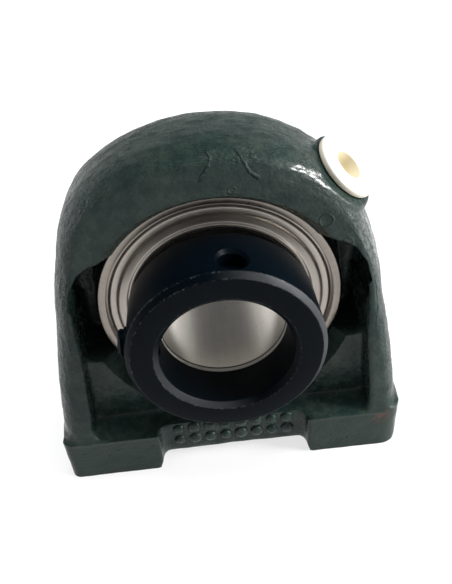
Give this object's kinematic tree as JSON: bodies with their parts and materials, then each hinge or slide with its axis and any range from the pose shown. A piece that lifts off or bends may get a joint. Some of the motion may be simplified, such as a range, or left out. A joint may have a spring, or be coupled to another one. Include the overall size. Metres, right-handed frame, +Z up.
{
  "type": "pillow block bearing unit",
  "caption": "Short tapped-base pillow block with a self-aligning insert bearing, an eccentric locking collar and a plugged lubrication hole, to carry a shaft on a machine frame.",
  "frame": {"origin": "centre of the two tapped holes on the plane of the feet, below the middle of the bearing", "axes": "+Z up, Y along the shaft with the collar at -Y, +X to the right seen from the collar's side"},
  "size_m": [0.076, 0.0424, 0.0711],
  "materials": {
    "housing_paint": "glossy dark green-grey enamel over a rough iron casting",
    "white_plastic": "satin",
    "ring_steel": "ground",
    "bore_steel": "fine ground",
    "cage_steel": "pressed",
    "shield_steel": "satin pressed",
    "seal_rubber": "matte",
    "black_oxide": "semi-gloss black oxide",
    "screw_steel": "black oxide",
    "ball_steel": "polished"
  },
  "bodies": {
    "housing_body": {"housing": "housing_paint"},
    "insert": {"outer_ring": "ring_steel", "front_shield": "shield_steel", "rear_shield": "shield_steel", "front_seal_lip": "seal_rubber", "rear_seal_lip": "seal_rubber"},
    "shaft_ring": {"inner_ring": "bore_steel"},
    "cage": {"cage_front": "cage_steel", "cage_rear": "cage_steel", "cage_rivets": "cage_steel"},
    "collar": {"eccentric_collar": "black_oxide"},
    "screw": {"set_screw": "screw_steel"},
    "plug": {"grease_plug": "white_plastic"},
    "ball_1_body": {"ball_1": "ball_steel"},
    "ball_2_body": {"ball_2": "ball_steel"},
    "ball_3_body": {"ball_3": "ball_steel"},
    "ball_4_body": {"ball_4": "ball_steel"},
    "ball_5_body": {"ball_5": "ball_steel"},
    "ball_6_body": {"ball_6": "ball_steel"},
    "ball_7_body": {"ball_7": "ball_steel"},
    "ball_8_body": {"ball_8": "ball_steel"},
    "ball_9_body": {"ball_9": "ball_steel"}
  },
  "joints": [
    {"name": "insert_align", "type": "hinge", "parent": "housing_body", "child": "insert", "pos_m": [0, 0, 0.0365], "axis": [1, 0, 0], "range_deg": [-5, 5]},
    {"name": "shaft_spin", "type": "hinge", "parent": "insert", "child": "shaft_ring", "pos_m": [0, 0, 0.0365], "axis": [0, 1, 0], "continuous": true},
    {"name": "cage_orbit", "type": "hinge", "parent": "insert", "child": "cage", "pos_m": [0, 0, 0.0365], "axis": [0, 1, 0], "continuous": true},
    {"name": "collar_lock", "type": "hinge", "parent": "shaft_ring", "child": "collar", "pos_m": [0, 0, 0.0373], "axis": [0, 1, 0], "range_deg": [-60, 60]},
    {"name": "screw_travel", "type": "slide", "parent": "collar", "child": "screw", "axis": [-0.9914, 0, 0.1305], "range_m": [-0.0014, 0.0035]},
    {"name": "plug_pull", "type": "slide", "parent": "housing_body", "child": "plug", "axis": [0.6302, -0.309, 0.7123], "range_m": [0, 0.012]},
    {"name": "ball_1_spin", "type": "hinge", "parent": "cage", "child": "ball_1_body", "pos_m": [0, 0, 0.056], "axis": [0, 1, 0], "continuous": true},
    {"name": "ball_2_spin", "type": "hinge", "parent": "cage", "child": "ball_2_body", "pos_m": [0.01253, 0, 0.05144], "axis": [0, 1, 0], "continuous": true},
    {"name": "ball_3_spin", "type": "hinge", "parent": "cage", "child": "ball_3_body", "pos_m": [0.0192, 0, 0.03989], "axis": [0, 1, 0], "continuous": true},
    {"name": "ball_4_spin", "type": "hinge", "parent": "cage", "child": "ball_4_body", "pos_m": [0.01689, 0, 0.02675], "axis": [0, 1, 0], "continuous": true},
    {"name": "ball_5_spin", "type": "hinge", "parent": "cage", "child": "ball_5_body", "pos_m": [0.00667, 0, 0.01818], "axis": [0, 1, 0], "continuous": true},
    {"name": "ball_6_spin", "type": "hinge", "parent": "cage", "child": "ball_6_body", "pos_m": [-0.00667, 0, 0.01818], "axis": [0, 1, 0], "continuous": true},
    {"name": "ball_7_spin", "type": "hinge", "parent": "cage", "child": "ball_7_body", "pos_m": [-0.01689, 0, 0.02675], "axis": [0, 1, 0], "continuous": true},
    {"name": "ball_8_spin", "type": "hinge", "parent": "cage", "child": "ball_8_body", "pos_m": [-0.0192, 0, 0.03989], "axis": [0, 1, 0], "continuous": true},
    {"name": "ball_9_spin", "type": "hinge", "parent": "cage", "child": "ball_9_body", "pos_m": [-0.01253, 0, 0.05144], "axis": [0, 1, 0], "continuous": true}
  ],
  "couplings": [
    {"joint": "cage_orbit", "follows": "shaft_spin", "ratio": 0.39823},
    {"joint": "ball_1_spin", "follows": "shaft_spin", "ratio": -2.3548},
    {"joint": "ball_2_spin", "follows": "shaft_spin", "ratio": -2.3548},
    {"joint": "ball_3_spin", "follows": "shaft_spin", "ratio": -2.3548},
    {"joint": "ball_4_spin", "follows": "shaft_spin", "ratio": -2.3548},
    {"joint": "ball_5_spin", "follows": "shaft_spin", "ratio": -2.3548},
    {"joint": "ball_6_spin", "follows": "shaft_spin", "ratio": -2.3548},
    {"joint": "ball_7_spin", "follows": "shaft_spin", "ratio": -2.3548},
    {"joint": "ball_8_spin", "follows": "shaft_spin", "ratio": -2.3548},
    {"joint": "ball_9_spin", "follows": "shaft_spin", "ratio": -2.3548}
  ]
}
